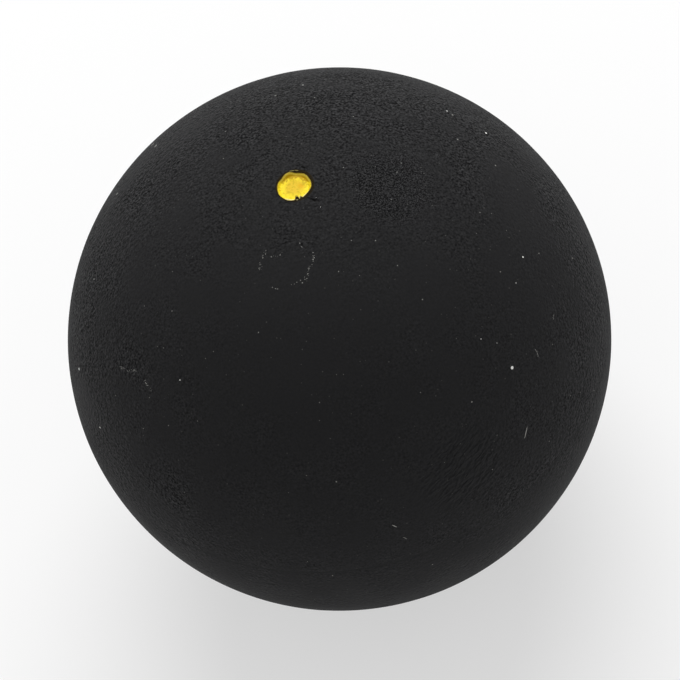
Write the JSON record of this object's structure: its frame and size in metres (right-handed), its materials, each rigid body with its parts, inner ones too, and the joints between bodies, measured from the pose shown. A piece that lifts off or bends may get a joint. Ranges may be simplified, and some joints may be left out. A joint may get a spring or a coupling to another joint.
{
  "type": "squash ball",
  "caption": "Hollow rubber squash ball of two half shells cemented at an equator seam, with a small painted dot in a shallow dish at one pole.",
  "frame": {"origin": "centre of the ball", "axes": "+Z from the centre out through the middle of the painted dot; the seam lies in the XY plane; X and Y are equivalent"},
  "size_m": [0.04, 0.04, 0.04],
  "materials": {
    "dotted_shell_rubber": "buffed matt",
    "plain_shell_rubber": "buffed matt",
    "seam_cement": "dull",
    "dot_paint": "satin"
  },
  "bodies": {
    "root": {"dotted_half_shell": "dotted_shell_rubber", "plain_half_shell": "plain_shell_rubber", "seam_cement": "seam_cement", "yellow_dot": "dot_paint"}
  },
  "joints": []
}
